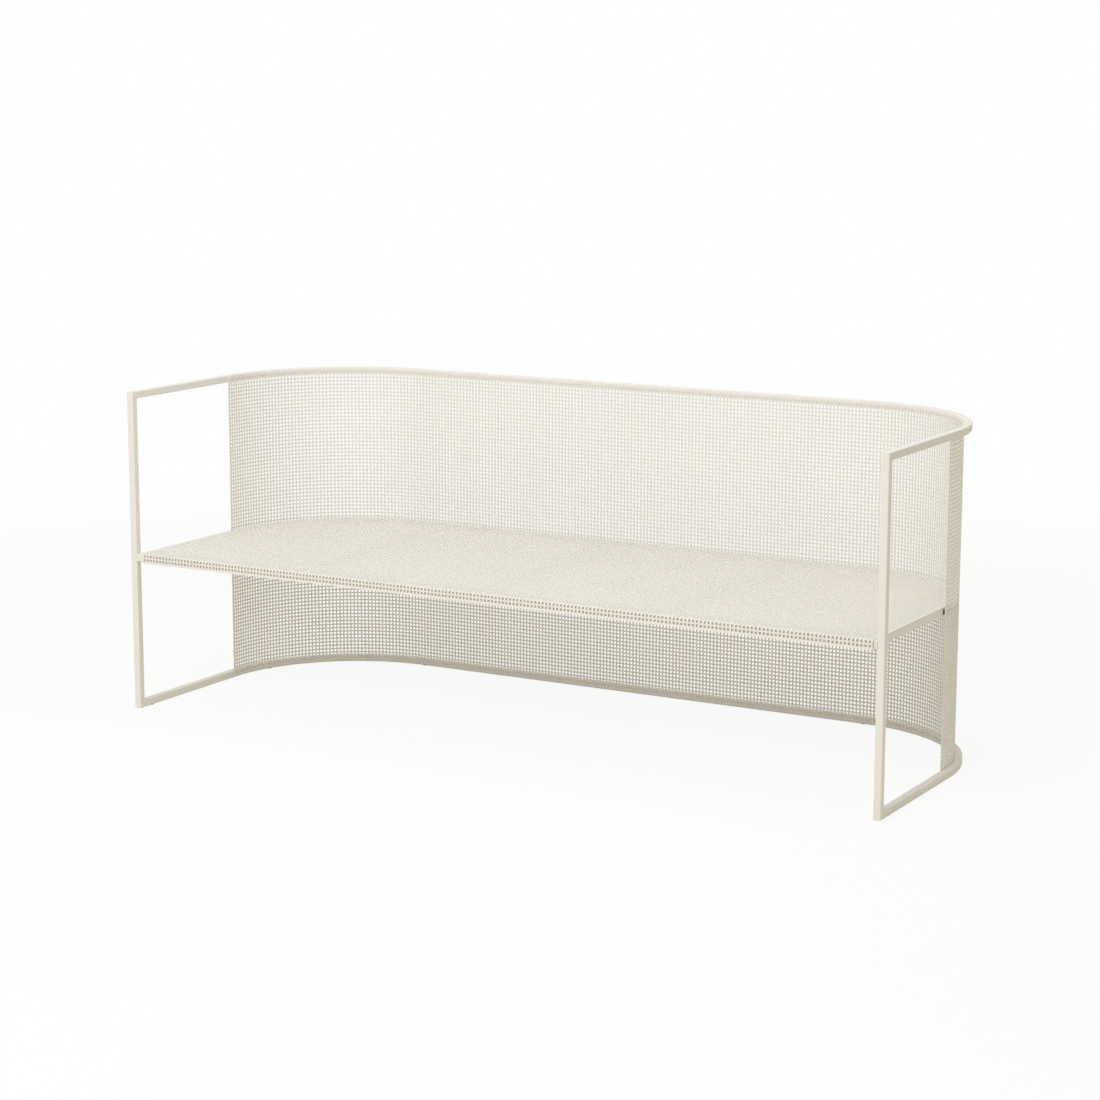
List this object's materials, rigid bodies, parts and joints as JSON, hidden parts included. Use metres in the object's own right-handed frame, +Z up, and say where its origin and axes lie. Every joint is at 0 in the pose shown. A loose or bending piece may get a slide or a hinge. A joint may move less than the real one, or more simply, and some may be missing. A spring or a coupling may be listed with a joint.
{
  "type": "garden bench",
  "caption": "Low garden bench: a slim square-tube frame with a curved perforated steel back that wraps round both ends and a flat perforated steel seat with a folded front lip.",
  "frame": {"origin": "on the floor, in the middle of the bench's length and depth", "axes": "+X along the bench, to the sitter's left; -Y towards the open front; +Z up"},
  "size_m": [1.69, 0.659, 0.67],
  "materials": {
    "frame_steel": "matt off-white powder coat",
    "sheet_steel": "matt off-white powder coat on perforated sheet",
    "nylon": "matt black nylon",
    "clear_nylon": "natural off-white nylon"
  },
  "bodies": {
    "root": {"top_rail": "frame_steel", "bottom_rail": "frame_steel", "left_post": "frame_steel", "right_post": "frame_steel", "back_sheet": "sheet_steel", "seat_front_rail": "frame_steel", "seat_ring": "frame_steel", "left_bearer": "frame_steel", "middle_bearer": "frame_steel", "right_bearer": "frame_steel", "seat_sheet": "sheet_steel", "left_spacer": "nylon", "right_spacer": "nylon", "back_left_spacer": "nylon", "back_middle_spacer": "nylon", "back_right_spacer": "nylon", "front_left_glide": "clear_nylon", "front_right_glide": "clear_nylon", "corner_left_glide": "clear_nylon", "corner_right_glide": "clear_nylon", "back_left_glide": "clear_nylon", "back_right_glide": "clear_nylon"}
  },
  "joints": []
}
